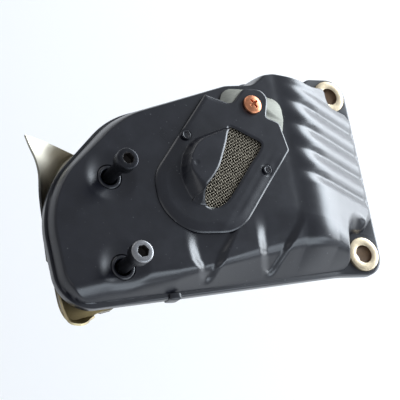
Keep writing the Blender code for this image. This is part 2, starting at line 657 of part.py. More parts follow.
def cover_z(xy, edge):
    """Height of the outlet cover's underside: a flat plate, a turned-down round rim and the hood."""
    x, y = xy[:, 0], xy[:, 1]
    rim_side = smooth(22, 10, y + 0.25 * x) * smooth(40, 30, x)
    z = COVER_Z - COVER_RIM_DROP * rim_side * (1 - smooth(0, 4.5, distance(xy, edge)))
    base = np.array(HOOD_BASE)
    rise = np.where(inside(xy, np.vstack([base, COVER_POLE])), distance(xy, base, closed=False), 0)
    share = (np.hypot(rise, 0.5) - 0.5) / (2.3 + 4.4 * smooth(2, -9, y))
    return z + HOOD_HEIGHT * (1 - (1 - np.clip(share, 0, 1)) ** 2.3)


def build_outlet_cover():
    edge = rounded(COVER, 14)
    angles = np.radians(np.arange(0, 360, 5.0))
    outer = reach(edge, COVER_POLE, angles)
    inner = reach(spline(WINDOW, 3), COVER_POLE, angles)
    shares = [0, 0.1, 0.2, 0.32, 0.44, 0.58, 0.74, 0.88, 1]

    def level(share, lift):
        xy = polar(COVER_POLE, inner + (outer - inner) * share, angles)
        return lifted(xy, cover_z(xy, edge) + lift)

    layers = [level(share, COVER_T) for share in shares] + [level(share, 0) for share in shares[::-1]]
    cover = rings_solid("outlet_cover", layers, "black_paint", hollow=True)
    bore(cover, 2.3, COVER_SCREW, 25, 40, "screw", 20)
    for side, at in RIVETS.items():
        bore(cover, 1.3, at, 25, 40, f"rivet_{side}", 16)


def build_screen_plate():
    plate = prism("screen_plate", rounded(PLATE, 15), PLATE_Z, PLATE_Z + PLATE_T, "bright_steel")
    inner = grown(rounded(SCREEN, 20), -1.6)
    cut(plate, prism("window", inner, PLATE_Z - 3, PLATE_Z + 3), "window")
    bore(plate, 2.3, COVER_SCREW, 25, 40, "screw", 20)
    for side, at in RIVETS.items():
        bore(plate, 1.3, at, 25, 40, f"rivet_{side}", 16)


def build_screen():
    prism("spark_screen", rounded(SCREEN, 20), SCREEN_Z, SCREEN_Z + SCREEN_T, "screen_wire")


def build_cover_screw():
    """M4 pan-head screw with a cross recess, and the nut welded under the front shell."""
    under = COVER_Z + COVER_T + GAP
    head_r, head_h, shank_r, shank = 3.8, 2.6, 2.0, 9.0
    profile = [(0, under - shank), (shank_r - 0.5, under - shank), (shank_r, under - shank + 0.6)]
    profile += [(shank_r, under), (head_r, under), (head_r, under + 0.9)]
    profile += [(head_r * math.cos(a), under + 0.9 + (head_h - 0.9) * math.sin(a)) for a in (0.45, 0.8, 1.15)]
    profile += [(0, under + head_h)]
    screw = turned("cover_screw", profile, COVER_SCREW, "copper_screw", 24)
    arm, half = 1.9, 0.4
    cross = []
    for k in range(4):
        turn = math.radians(35) + k * math.pi / 2
        for px, py in ((arm, -half), (arm, half), (half, half)):
            cross.append((
                COVER_SCREW[0] + px * math.cos(turn) - py * math.sin(turn),
                COVER_SCREW[1] + px * math.sin(turn) + py * math.cos(turn),
            ))
    cut(screw, prism("cross", cross, under + head_h - 1.5, under + head_h + 1), "cross")
    nut = prism(
        "weld_nut", [(COVER_SCREW[0] + x, COVER_SCREW[1] + y) for x, y in hexagon(7.0)],
        FACE_Z - SHEET - GAP - 3.2, FACE_Z - SHEET - GAP, "bare_steel")
    bore(nut, shank_r + 0.15, COVER_SCREW, 15, 40, "thread", 20)


def build_rivets():
    """Clinched rivets that hold the screen plate to the cover."""
    seat = COVER_Z + COVER_T + 0.3
    for side, at in RIVETS.items():
        profile = [(0, PLATE_Z + GAP), (1.1, PLATE_Z + GAP), (1.1, seat), (1.7, seat), (1.5, seat + 0.45)]
        profile += [(0.9, seat + 0.7), (0, seat + 0.75)]
        turned(f"cover_rivet_{side}", profile, at, "black_paint", 16)


def main():
    global frame
    for obj in list(bpy.data.objects):
        bpy.data.objects.remove(obj, do_unlink=True)
    frame = bpy.data.objects.new("muffler_frame", None)
    frame.location = (-FRAME_CENTRE[0] * MM, -FRAME_CENTRE[1] * MM, 0)
    bpy.context.scene.collection.objects.link(frame)
    material("black_paint", (0.030, 0.031, 0.034), 0.0, 0.42)
    material("bare_steel", (0.42, 0.40, 0.36), 1.0, 0.42)
    material("shield_steel", (0.62, 0.58, 0.48), 1.0, 0.28)
    material("bright_steel", (0.60, 0.60, 0.56), 1.0, 0.35)
    material("steel_screw", (0.20, 0.20, 0.21), 1.0, 0.40)
    material("brass_plate", (0.80, 0.64, 0.36), 1.0, 0.35)
    material("screen_wire", (0.42, 0.36, 0.24), 1.0, 0.45)
    material("gasket_fibre", (0.16, 0.15, 0.14), 0.0, 0.80)
    material("copper_screw", (0.85, 0.40, 0.24), 1.0, 0.30)
    build_front_shell()
    build_rear_shell()
    build_baffle()
    build_diffuser()
    build_outlet_duct()
    build_seam_clip()
    build_inlet_flange()
    build_heat_shield()
    build_sleeves()
    build_mounting_screws()
    build_bushes()
    build_outlet_cover()
    build_screen_plate()
    build_screen()
    build_cover_screw()
    build_rivets()


main()
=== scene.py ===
"""Exhaust muffler: fine meshes, procedural materials, studio and camera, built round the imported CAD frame.

Lengths are millimetres in the design frame, whose X = Y = 0 is the round end of the outlet cover. put() turns
them into the row frame's metres.
"""

import math

import bmesh
import bpy
import numpy as np
from mathutils import Matrix, Vector


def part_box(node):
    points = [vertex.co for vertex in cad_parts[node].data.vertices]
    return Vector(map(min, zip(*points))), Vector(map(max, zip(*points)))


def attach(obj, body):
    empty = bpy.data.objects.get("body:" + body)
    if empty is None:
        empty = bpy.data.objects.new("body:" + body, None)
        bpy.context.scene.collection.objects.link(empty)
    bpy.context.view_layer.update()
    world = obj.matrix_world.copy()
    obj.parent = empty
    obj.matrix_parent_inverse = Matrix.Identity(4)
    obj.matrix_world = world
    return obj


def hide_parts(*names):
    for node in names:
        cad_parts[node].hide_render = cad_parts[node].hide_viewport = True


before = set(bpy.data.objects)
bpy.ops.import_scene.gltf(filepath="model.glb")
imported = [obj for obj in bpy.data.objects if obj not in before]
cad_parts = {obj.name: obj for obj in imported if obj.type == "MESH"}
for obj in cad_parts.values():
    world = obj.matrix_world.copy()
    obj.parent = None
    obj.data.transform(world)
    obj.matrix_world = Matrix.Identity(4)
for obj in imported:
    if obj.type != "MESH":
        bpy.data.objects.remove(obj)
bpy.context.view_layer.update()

MM = 0.001
SCREW_X = -38.0
SCREW_YS = {"upper": -1.5, "lower": -37.0}
EYELET_X = 83.0
EYELET_YS = {"upper": 45.5, "lower": -28.5}


def box_centre(node):
    low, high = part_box(node)
    return (low + high) / 2


ORIGIN = box_centre("mounting_screw_upper") / MM - Vector((SCREW_X, SCREW_YS["upper"], 0))
ORIGIN.z = 0


def put(points):
    """Design millimetres to row metres."""
    return (np.asarray(points, float) + np.array(ORIGIN)) * MM


# ---------------------------------------------------------------- form of the part
# The CAD's outlines and sizes. The dishes, the recesses and the lower pads are softer than the CAD's.
SHEET = 1.0
FACE_Z = 28.0  # the flat front face
HUMP = 3.6  # rise of the face towards the ribs
RIB_SLOPE = 0.526
RIB_CREST_X = 49.1
FOOT_W = 3.4  # width of the turned-down walls
SEAM_LEFT = (-60.0, 22.0)  # x and height of the seam's underside at the port end
SEAM_RIGHT = (70.0, 7.0)
HEM = 3.9  # height of the hem, less at the port end
DISH_R = 11.0
DISH_FLOOR_R = 4.0
DISH_DEPTH = 1.4  # 1.6 in the CAD
SLEEVE_R = 4.9
SLEEVE_BORE_R = 3.1
SLEEVE_TOP = 27.0
BUSH_R = 7.4
BUSH_BORE_R = 3.9
BUSH_TOP = 9.2
RECESS_R = 9.3  # radius of the flat round the lower eyelet
RIBS = 4
RIB_PITCH = 10.5
RIB_FIRST = (52.0, 32.7)
RIB_SKEW = -0.15
RIB_HEIGHT = 1.8
VALLEY_XS = (-1.0, 30.3)
VALLEY_DEPTH = 2.1
# distance from the lower edge, then x from the valley's tip
VALLEY_LEFT = [(0, 0), (2.7, -1.5), (5, -3.5), (9.5, -6.5), (15, -7.2)]
VALLEY_RIGHT = [(0, 1), (4.8, 2.6), (7.9, 4.6), (10.8, 6), (14, 8.5), (18.6, 12), (26, 13)]
# x, then the crest's distance from the lower edge
PAD_CREST = [(-60, 3.4), (-40, 3.6), (-15, 4.4), (5, 6.6), (25, 9), (45, 10.5), (62, 8), (72, 4.5)]
COVER_Z = 28.8
COVER_T = 0.7
COVER_RIM_DROP = 0.6
HOOD_HEIGHT = 5.0
PLATE_Z = 28.15
PLATE_T = 0.5
WEAVE_Z = 28.3  # middle of the woven wires
COVER_SCREW = (28.5, 29.5)
COVER_HOLE_R = 2.3
RIVET_HOLE_R = 1.3
RIVETS = {"left": (-4.1, 15.4), "right": (29.8, 1.1)}
PORT = (-38.0, -19.25)
PORT_SIZE = (19.0, 17.0)
SHIELD_Z = 3.2
SHIELD_T = 0.8
BACK_Z = 4.2  # outside of the rear shell's floor
# the lower edge is y = BOTTOM_Y + BOTTOM_RISE * x
BOTTOM_RISE = 0.1116
BOTTOM_Y = -43.4
GAP = 0.15  # clearance round the sleeves and bushes

# outlines: (x, y, corner radius), or plain (x, y) points of a curve
FOOT = [
    (-61.8, -50.2, 12), (72.8, -35.4, 3), (73.7, -19.6, 9), (85.5, -18.8, 6), (91.6, -12, 4),
    (91.6, 36.8, 5), (75, 37.5, 8), (75.4, 45.4, 3.5), (62, 45.2, 30), (43, 48.2, 10),
    (37, 47, 6), (31, 42.2, 5), (18.5, 41.2, 14), (-31.2, 25.4, 45), (-65.5, -8.2, 38),
]
RIM = [
    (-62.9, -52.4, 13.8), (70, -37.4, 40), (92.4, -37.6, 8.6), (92.4, 54.6, 8.6),
    (74.5, 54.2, 5), (60.5, 46.8, 10), (43, 49.3, 10), (36.4, 48.1, 6), (30.7, 43.3, 5), (18.3, 42.2, 14),
    (-32, 26, 45), (-66.3, -7.9, 38),
]
REAR_FLOOR = [(-51.3, -52, 10), (90, -45, 5), (90, 60, 5), (-51.3, 60, 5)]
COVER = [
    (-20.2, -0.6, 14), (-20.2, -14.6, 18.5), (-9.4, -24.9, 18.5), (13.4, -24.9, 18.5), (42.4, 10.2, 1.4),
    (40.2, 22.2, 2.4), (34.4, 24.6, 1.2), (38.2, 36.9, 5.5), (26.2, 37.1, 5), (19.4, 29.6, 4), (8, 33.8, 0.7),
]
PLATE = [
    (-15.2, -2.1, 10), (-15.2, -12.1, 13.5), (-7.3, -20, 13.5), (10.9, -20, 13.5),
    (37, 8.2, 3), (41, 17.5, 6), (42.9, 24, 8), (42.9, 32.4, 7.5),
    (33, 34.6, 3), (27, 36.8, 4), (16.6, 36.9, 8), (13.6, 28.5, 1.5),
]
SCREEN = [(15.5, 23.8, 2.5), (36.1, 13.8, 3), (9.5, -17.3, 5), (-4.5, -15, 5), (-6.5, 4, 6), (1, 13, 5)]
WINDOW = [
    (17.3, 19.5), (15.2, 18.4), (12.4, 15.2), (10.7, 11), (8.2, 5.6), (5.4, 0.2), (2.5, -3.5), (-1, -7.2),
    (-2.2, -10), (-1.4, -12.8), (0.6, -14.6), (2.7, -15), (6.2, -14.1), (10, -11.5), (14.3, -6.7),
    (18.8, -1.4), (23.3, 4), (27.8, 9), (29.6, 11.9), (28.9, 13.6), (24.5, 15.9),
]
HOOD_BASE = [
    (17.3, 19.5), (14, 19), (9.7, 17.7), (3.7, 15.6), (-0.6, 13.9), (-4.2, 11.1), (-7.4, 6.7), (-9.1, 1.4),
    (-9.5, -1.7), (-8.8, -5.9), (-7.4, -10), (-5.9, -12.3), (-3.4, -13.9), (0.6, -14.6),
]


def rounded(corners, step=12.0):
    """Closed outline with an arc at each (x, y, radius) corner. step is degrees per point on an arc."""
    points = []
    count = len(corners)
    for i, (x, y, r) in enumerate(corners):
        here = np.array([x, y], float)
        back = np.array(corners[i - 1][:2], float) - here
        ahead = np.array(corners[(i + 1) % count][:2], float) - here
        room = 0.499 * min(np.linalg.norm(back), np.linalg.norm(ahead))
        back = back / np.linalg.norm(back)
        ahead = ahead / np.linalg.norm(ahead)
        half = math.acos(max(-1, min(1, back @ ahead))) / 2
        along = min(r / math.tan(half), room)
        r = along * math.tan(half)
        middle = here + (back + ahead) / np.linalg.norm(back + ahead) * r / math.sin(half)
        start = here + back * along - middle
        end = here + ahead * along - middle
        turn = math.atan2(start[0] * end[1] - start[1] * end[0], start @ end)
        steps = max(1, round(abs(math.degrees(turn)) / step))
        for k in range(steps + 1):
            a = turn * k / steps
            spin = np.array([[math.cos(a), -math.sin(a)], [math.sin(a), math.cos(a)]])
            points.append(middle + spin @ start)
    return np.array(points)


def catmull_rom(p0, p1, p2, p3, t):
    """Point at share t of the way from p1 to p2."""
    return 0.5 * (
        2 * p1 + (p2 - p0) * t + (2 * p0 - 5 * p1 + 4 * p2 - p3) * t ** 2
        + (3 * p1 - p0 - 3 * p2 + p3) * t ** 3)


def spline(points, steps):
    """Closed smooth curve through the points, with steps points from each to the next."""
    p1 = np.array(points, float)
    p0, p2, p3 = np.roll(p1, 1, axis=0), np.roll(p1, -1, axis=0), np.roll(p1, -2, axis=0)
    curve = []
    for k in range(steps):
        curve.append(catmull_rom(p0, p1, p2, p3, k / steps))
    return np.stack(curve, axis=1).reshape(-1, 2)


def distance(xy, line, closed=True):
    """Distance of each point to the polyline."""
    a = line if closed else line[:-1]
    b = np.roll(line, -1, axis=0) if closed else line[1:]
    best = np.full(len(xy), np.inf)
    for p, q in zip(a, b):
        d = q - p
        length2 = d @ d
        if length2 < 1e-12:
            continue
        t = np.clip(((xy - p) @ d) / length2, 0, 1)
        best = np.minimum(best, np.linalg.norm(xy - p - t[:, None] * d, axis=1))
    return best


def inside(xy, outline):
    """Whether each point lies inside the outline."""
    odd = np.zeros(len(xy), bool)
    for (x0, y0), (x1, y1) in zip(outline, np.roll(outline, -1, axis=0)):
        if y0 == y1:
            continue
        crosses = (y0 > xy[:, 1]) != (y1 > xy[:, 1])
        odd ^= crosses & (xy[:, 0] < x0 + (xy[:, 1] - y0) * (x1 - x0) / (y1 - y0))
    return odd


def reach(outline, pole, angles):
    """Distance from pole to the outline along each angle."""
    found = np.zeros(len(angles))
    a = outline - pole
    b = np.roll(outline, -1, axis=0) - pole
    for i, angle in enumerate(angles):
        u = np.array([math.cos(angle), math.sin(angle)])
        side_a = u[0] * a[:, 1] - u[1] * a[:, 0]
        side_b = u[0] * b[:, 1] - u[1] * b[:, 0]
        hit = (side_a <= 0) & (side_b > 0) | (side_a > 0) & (side_b <= 0)
        t = side_a[hit] / (side_a[hit] - side_b[hit])
        p = a[hit] + t[:, None] * (b[hit] - a[hit])
        found[i] = (p @ u).max()
    return found


def grown(outline, by):
    """Outline moved outwards by a distance."""
    ahead = np.roll(outline, -1, axis=0) - outline
    behind = outline - np.roll(outline, 1, axis=0)
    keep = (np.linalg.norm(ahead, axis=1) > 1e-6) & (np.linalg.norm(behind, axis=1) > 1e-6)
    outline, ahead, behind = outline[keep], ahead[keep], behind[keep]
    ahead, behind = (step / np.linalg.norm(step, axis=1)[:, None] for step in (ahead, behind))
    along = (ahead + behind) / np.linalg.norm(ahead + behind, axis=1)[:, None]
    x, y = outline.T
    area = 0.5 * np.sum(x * np.roll(y, -1) - y * np.roll(x, -1))
    out = np.stack([along[:, 1], -along[:, 0]], axis=1) * (1 if area > 0 else -1)
    return outline + out * by


def smooth(low, high, value):
    """0 up to low, 1 from high on, eased between them. low may be the larger one."""
    t = np.clip((value - low) / (high - low), 0, 1)
    return t * t * (3 - 2 * t)


def soft_min(a, b, k):
    """Smaller of a and b, blended where they are closer than k."""
    h = np.clip(0.5 + 0.5 * (b - a) / k, 0, 1)
    return b + (a - b) * h - k * h * (1 - h)


def seam_z(x):
    """Height of the seam, which falls from the port end to the eyelets."""
    return np.interp(x, [SEAM_LEFT[0], SEAM_RIGHT[0]], [SEAM_LEFT[1], SEAM_RIGHT[1]])


def rib_wave(across):
    """Height of the ribs, 0 to 1: a narrow groove at each whole pitch, a steep rise, then a gentle fall."""
    place = np.clip(across, -(RIBS - 1) * RIB_PITCH, 0.999 * RIB_PITCH) / RIB_PITCH
    part = place - np.floor(place)
    wave = np.sin(math.pi * part ** 0.75) ** 1.5
    return wave + 0.85 * smooth(0, 5, -(RIBS - 1) * RIB_PITCH - across)


def face_z(x, y):
    """Front face and ribbed side, before the walls are turned down."""
    flat = FACE_Z + HUMP * smooth(42, 58, x)
    fall = FACE_Z + HUMP - RIB_SLOPE * (x - RIB_CREST_X)
    z = soft_min(flat, fall, 9)
    across = y - (RIB_FIRST[1] + RIB_SKEW * (x - RIB_FIRST[0]))
    band = smooth(9.5, 6, across) * smooth(-(RIBS + 1) * RIB_PITCH, -(RIBS - 0.2) * RIB_PITCH, across)
    z = z + RIB_HEIGHT * (rib_wave(across) - 0.7) * band * smooth(RIB_FIRST[0] - 7, RIB_FIRST[0] + 9, x)
    for screw_y in SCREW_YS.values():
        r = np.hypot(x - SCREW_X, y - screw_y)
        z = z - DISH_DEPTH * (1 - smooth(DISH_FLOOR_R, DISH_R, r))
    return z


def lower_slope(x, low):
    """Share of the full height at a distance from the lower edge: flat pads, a crest, then a gentle roll."""
    t = low / np.interp(x, *zip(*PAD_CREST))
    roll = 0.84 + 0.16 * (1 - (1 - np.clip((t - 1) / 1.4, 0, 1)) ** 2)
    return np.clip(soft_min(0.84 * t, roll, 0.16 + 0.55 * smooth(0, -35, x)), 0, 1)


def valleys(x, low):
    """Depth of the triangular recesses between the pads."""
    depth = 0
    for tip in VALLEY_XS:
        left = tip + np.interp(low, *zip(*VALLEY_LEFT))
        right = tip + np.interp(low, *zip(*VALLEY_RIGHT))
        depth = depth + smooth(left - 3.2, left + 3.2, x) * smooth(right + 2.2, right - 2.2, x)
    return VALLEY_DEPTH * depth * smooth(0.5, 4, low) * (1 - smooth(10, 26, low))


def shell_z(xy, foot):
    """Height of the front shell's outer surface."""
    x, y = xy[:, 0], xy[:, 1]
    base = seam_z(x) + SHEET
    depth = np.where(inside(xy, foot), distance(xy, foot), 0)
    to_upper_eyelet = np.hypot(x - EYELET_X, y - EYELET_YS["upper"])
    crisp = 1 - 0.5 * (1 - smooth(9, 20, to_upper_eyelet)) - 0.4 * smooth(-30, -58, x)
    steep = 1 - (1 - np.clip(depth / (FOOT_W * crisp), 0, 1)) ** 2
    low = np.maximum(y - (BOTTOM_Y + BOTTOM_RISE * x), 0)
    share = np.minimum(1.02 * soft_min(steep, lower_slope(x, low), 0.06), 1)
    z = base + (face_z(x, y) - base) * share - valleys(x, low)
    dx = x - EYELET_X
    r = np.maximum(np.hypot(dx, y - EYELET_YS["lower"]), 1)
    cone = base + 0.6 + (1.15 + 1.3 * np.clip(-dx / r, 0, 1) ** 2) * (r - RECESS_R)
    z = np.where(r < 40, soft_min(z, np.maximum(cone, base), 2), z)
    return np.maximum(z, base)


# ---------------------------------------------------------------- mesh helpers
def new_object(name, verts, faces, body="muffler", slot=None, replaces=(), sharp=40):
    """Object from a mesh in row metres. body and the nodes it replaces are the CAD's; slot, also the CAD's,
    is not used.
    """
    mesh = bpy.data.meshes.new(name)
    mesh.from_pydata([tuple(v) for v in verts], [], [tuple(f) for f in faces])
    mesh.update()
    bm = bmesh.new()
    bm.from_mesh(mesh)
    bmesh.ops.recalc_face_normals(bm, faces=bm.faces)
    bm.to_mesh(mesh)
    bm.free()
    mesh.shade_smooth()
    mesh.set_sharp_from_angle(angle=math.radians(sharp))
    obj = bpy.data.objects.new(name, mesh)
    bpy.context.scene.collection.objects.link(obj)
    if body:
        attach(obj, body)
        if replaces:
            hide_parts(*replaces)
    return obj


def grid_faces(rows, columns, wrap_rows, start=0):
    """Quads over rows of columns points each. The columns always wrap."""
    i = np.arange(rows if wrap_rows else rows - 1)
    j = np.arange(columns)
    a, b = np.meshgrid(i, j, indexing="ij")
    a2, b2 = (a + 1) % rows, (b + 1) % columns
    quads = np.stack([a * columns + b, a * columns + b2, a2 * columns + b2, a2 * columns + b], axis=-1)
    return quads.reshape(-1, 4) + start


def ring_object(name, layers, hollow=True, **more):
    """Closed solid from (n, 3) rings in design mm. Without hollow, each end is closed by a fan."""
    verts = np.vstack(layers)
    n = len(layers[0])
    faces = grid_faces(len(layers), n, hollow).tolist()
    if not hollow:
        for ring, base in ((layers[0], 0), (layers[-1], (len(layers) - 1) * n)):
            verts = np.vstack([verts, ring.mean(axis=0)])
            faces += [(base + i, base + (i + 1) % n, len(verts) - 1) for i in range(n)]
    return new_object(name, put(verts), faces, **more)


def lathe(name, profile, at, segments=64, **more):
    """Solid turned about the vertical through at. profile is (radius, z), closed or ending on the axis."""
    angles = np.linspace(0, 2 * math.pi, segments, endpoint=False)
    solid = profile[0][0] < 1e-6
    points = profile[1:-1] if solid else profile
    layers = [
        np.column_stack([at[0] + r * np.cos(angles), at[1] + r * np.sin(angles), np.full(segments, z)])
        for r, z in points
    ]
    return ring_object(name, layers, hollow=not solid, **more)


def prism(name, outline, low, high, **more):
    """Solid between two heights over an outline."""
    outline = np.asarray(outline)
    n = len(outline)
    verts = np.vstack([np.column_stack([outline, np.full(n, z)]) for z in (low, high)])
    faces = [tuple(range(n))[::-1], tuple(range(n, 2 * n))]
    faces += [(i, (i + 1) % n, n + (i + 1) % n, n + i) for i in range(n)]
    return new_object(name, put(verts), faces, **more)


def circle(r, at=(0, 0), points=64):
    return [
        (at[0] + r * math.cos(2 * math.pi * k / points), at[1] + r * math.sin(2 * math.pi * k / points))
        for k in range(points)
    ]


def cutter(outline, low, high):
    return prism("cutter", outline, low, high, body=None)


def round_cutters(r, places, low, high, points=64):
    return [cutter(circle(r, at, points), low, high) for at in places]


def carve(obj, cutters):
    """Takes the cutters out of obj's mesh and removes them."""
    for piece in cutters:
        cut = obj.modifiers.new("cut", "BOOLEAN")
        cut.operation = "DIFFERENCE"
        cut.solver = "MANIFOLD"
        cut.object = piece
    bake(obj)
    for piece in cutters:
        bpy.data.objects.remove(piece, do_unlink=True)


def bake(obj):
    """Applies obj's modifiers to its mesh."""
    bpy.context.view_layer.update()
    graph = bpy.context.evaluated_depsgraph_get()
    mesh = bpy.data.meshes.new_from_object(obj.evaluated_get(graph))
    obj.modifiers.clear()
    old = obj.data
    obj.data = mesh
    bpy.data.meshes.remove(old)
    obj.data.shade_smooth()
    obj.data.set_sharp_from_angle(angle=math.radians(40))


def bevel(obj, width, segments=2, angle=40):
    tool = obj.modifiers.new("edge", "BEVEL")
    tool.width = width * MM
    tool.segments = segments
    tool.limit_method = "ANGLE"
    tool.angle_limit = math.radians(angle)
    tool.harden_normals = False


def polar(pole, radius, angles):
    return np.stack([pole[0] + radius * np.cos(angles), pole[1] + radius * np.sin(angles)], axis=1)


def lifted(xy, z):
    return np.column_stack([xy, np.broadcast_to(z, len(xy))])


def offset_rings(rings, by):
    """Rings moved by a distance below the surface that they form."""
    grid = np.array(rings)
    across = np.gradient(grid, axis=0)
    around = np.roll(grid, -1, axis=1) - np.roll(grid, 1, axis=1)
    normal = np.cross(across, around)
    normal /= np.maximum(np.linalg.norm(normal, axis=2, keepdims=True), 1e-9)
    normal *= np.where(normal[..., 2:] < 0, -1, 1)
    return list(grid - normal * by)


# ---------------------------------------------------------------- materials
class Look:
    """A Principled material and short ways to add nodes to it."""

    def __init__(self, name, colour, metallic=0.0, roughness=0.5, **sockets):
        self.material = bpy.data.materials.new(name)
        self.material.use_nodes = True
        self.tree = self.material.node_tree
        self.shader = self.tree.nodes["Principled BSDF"]
        self.set("Base Color", (*colour, 1))
        self.set("Metallic", metallic)
        self.set("Roughness", roughness)
        for socket, value in sockets.items():
            self.set(socket.replace("_", " "), value)
        self.position = self.node("ShaderNodeTexCoord").outputs["Object"]

    def set(self, socket, value):
        self.shader.inputs[socket].default_value = value

    def node(self, kind, inputs=(), **values):
        made = self.tree.nodes.new(kind)
        for key, value in values.items():
            setattr(made, key, value)
        for key, value in dict(inputs).items():
            if isinstance(value, bpy.types.NodeSocket):
                self.tree.links.new(value, made.inputs[key])
            else:
                made.inputs[key].default_value = value
        return made

    def link(self, output, socket):
        self.tree.links.new(output, self.shader.inputs[socket])

    def noise(self, scale, detail=4.0, rough=0.5, stretch=None, distortion=0.0):
        """Noise in 1/m of object space, 0 to 1."""
        at = self.position
        if stretch:
            at = self.node("ShaderNodeMapping", {"Vector": at, "Scale": stretch}).outputs[0]
        return self.node(
            "ShaderNodeTexNoise",
            {"Vector": at, "Scale": scale, "Detail": detail, "Roughness": rough, "Distortion": distortion},
        ).outputs["Fac"]

    def ramp(self, value, stops):
        """Colour ramp. stops are (position, grey or colour)."""
        made = self.node("ShaderNodeValToRGB", {"Fac": value})
        ramp = made.color_ramp
        while len(ramp.elements) < len(stops):
            ramp.elements.new(0.5)
        for element, (place, colour) in zip(ramp.elements, stops):
            element.position = place
            rgb = colour if isinstance(colour, tuple) else (colour,) * 3
            element.color = (*rgb, 1)
        return made.outputs["Color"]

    def mix(self, factor, a, b, kind="MIX"):
        made = self.node("ShaderNodeMix", data_type="RGBA", blend_type=kind)
        for socket, value in ((made.inputs[0], factor), (made.inputs[6], a), (made.inputs[7], b)):
            if isinstance(value, bpy.types.NodeSocket):
                self.tree.links.new(value, socket)
            elif isinstance(value, tuple):
                socket.default_value = (*value, 1)
            else:
                socket.default_value = value
        return made.outputs[2]

    def math(self, operation, a, b=0.0, clamp=False):
        made = self.node("ShaderNodeMath", operation=operation, use_clamp=clamp)
        for socket, value in zip(made.inputs, (a, b)):
            if isinstance(value, bpy.types.NodeSocket):
                self.tree.links.new(value, socket)
            else:
                socket.default_value = value
        return made.outputs[0]

    def bumps(self, *layers):
        """Bump layers (height, distance in mm, strength), one over the other."""
        normal = None
        for height, depth, strength in layers:
            inputs = {"Height": height, "Distance": depth * MM, "Strength": strength}
            if normal is not None:
                inputs["Normal"] = normal
            normal = self.node("ShaderNodeBump", inputs).outputs["Normal"]
        self.link(normal, "Normal")


def paint_look():
    """Satin heat-proof black: fine grain, slight mottling and a little dust."""
    look = Look("black_heatproof_paint", (0.02, 0.02, 0.022), 0.0, 0.36, Specular_IOR_Level=0.75)
    grain = look.noise(2600, 3, 0.6)
    mottle = look.noise(140, 5, 0.6)
    broad = look.noise(28, 3, 0.5)
    patches = look.ramp(mottle, [(0.3, 0.0), (0.75, 1.0)])
    base = look.mix(patches, (0.0045, 0.0050, 0.0090), (0.0085, 0.0093, 0.0155))
    base = look.mix(look.ramp(grain, [(0.62, 0.0), (0.8, 0.35)]), base, (0.05, 0.052, 0.056))
    dust = look.ramp(look.noise(900, 2, 0.4), [(0.735, 0.0), (0.765, 0.55)])
    base = look.mix(dust, base, (0.16, 0.165, 0.17))
    look.link(base, "Base Color")
    rough = look.math("ADD", look.math("MULTIPLY", mottle, 0.10), look.math("MULTIPLY", broad, 0.10))
    look.link(look.math("ADD", rough, 0.20), "Roughness")
    look.bumps((broad, 0.35, 0.12), (mottle, 0.03, 0.25), (grain, 0.012, 0.55))
    return look.material


def steel_look(name, dark, light, roughness=0.34, tint=None):
    """Bare sheet with rolling lines, stains and an optional heat tint."""
    look = Look(name, light, 1.0, roughness)
    lines = look.noise(420, 4, 0.6, stretch=(1, 14, 14))
    stain = look.noise(60, 5, 0.62)
    base = look.mix(look.ramp(stain, [(0.32, 0.0), (0.7, 1.0)]), dark, light)
    if tint:
        base = look.mix(look.ramp(look.noise(24, 3, 0.5), [(0.45, 0.0), (0.68, 0.8)]), base, tint)
    look.link(look.mix(0.35, base, lines, "MULTIPLY"), "Base Color")
    look.link(look.math("ADD", look.math("MULTIPLY", stain, 0.22), roughness - 0.08), "Roughness")
    look.bumps((stain, 0.08, 0.2), (lines, 0.01, 0.35))
    return look.material


def simple_look(name, colour, metallic, roughness, scale=700, depth=0.02):
    look = Look(name, colour, metallic, roughness)
    grain = look.noise(scale, 4, 0.6)
    shade = look.ramp(grain, [(0.3, tuple(c * 0.75 for c in colour)), (0.7, colour)])
    look.link(shade, "Base Color")
    look.link(look.math("ADD", look.math("MULTIPLY", grain, 0.2), roughness - 0.1), "Roughness")
    look.bumps((grain, depth, 0.4))
    return look.material


def shield_look():
    """Bright cream sheet at the flared top and darker towards the bottom: painted light and shade. Golden
    towards the lower corner.
    """
    look = Look("shield_sheet_steel", (0.7, 0.66, 0.55), 1.0, 0.40)
    lines = look.noise(420, 4, 0.6, stretch=(1, 14, 14))
    stain = look.noise(60, 5, 0.62)
    # painted light and shade: a cream tone for the top, where light falls, and a near-black one for the
    # bottom, in shade
    painted_lit_tone = look.mix(look.ramp(stain, [(0.32, 0.0), (0.7, 1.0)]), (0.46, 0.43, 0.355), (0.60, 0.57, 0.485))
    painted_shade_tone = look.mix(look.ramp(stain, [(0.40, 0.0), (0.7, 1.0)]), (0.07, 0.07, 0.075), (0.30, 0.26, 0.18))
    y = look.node("ShaderNodeSeparateXYZ", {"Vector": look.position}).outputs["Y"]
    # painted shade: blends from the shaded tone at the bottom to the lit tone at the top
    height = look.math("ADD", look.math("MULTIPLY", y, 60.0), 0.30, clamp=True)
    base = look.mix(look.math("ADD", height, look.math("MULTIPLY", stain, 0.1), clamp=True), painted_shade_tone, painted_lit_tone)
    corner = look.math("ADD", look.math("MULTIPLY", y, -150.0), -6.0, clamp=True)
    base = look.mix(corner, base, (0.60, 0.50, 0.30))
    look.link(look.mix(0.35, base, lines, "MULTIPLY"), "Base Color")
    look.link(look.math("ADD", look.math("MULTIPLY", stain, 0.22), 0.32), "Roughness")
    look.bumps((stain, 0.08, 0.2), (lines, 0.01, 0.35))
    return look.material


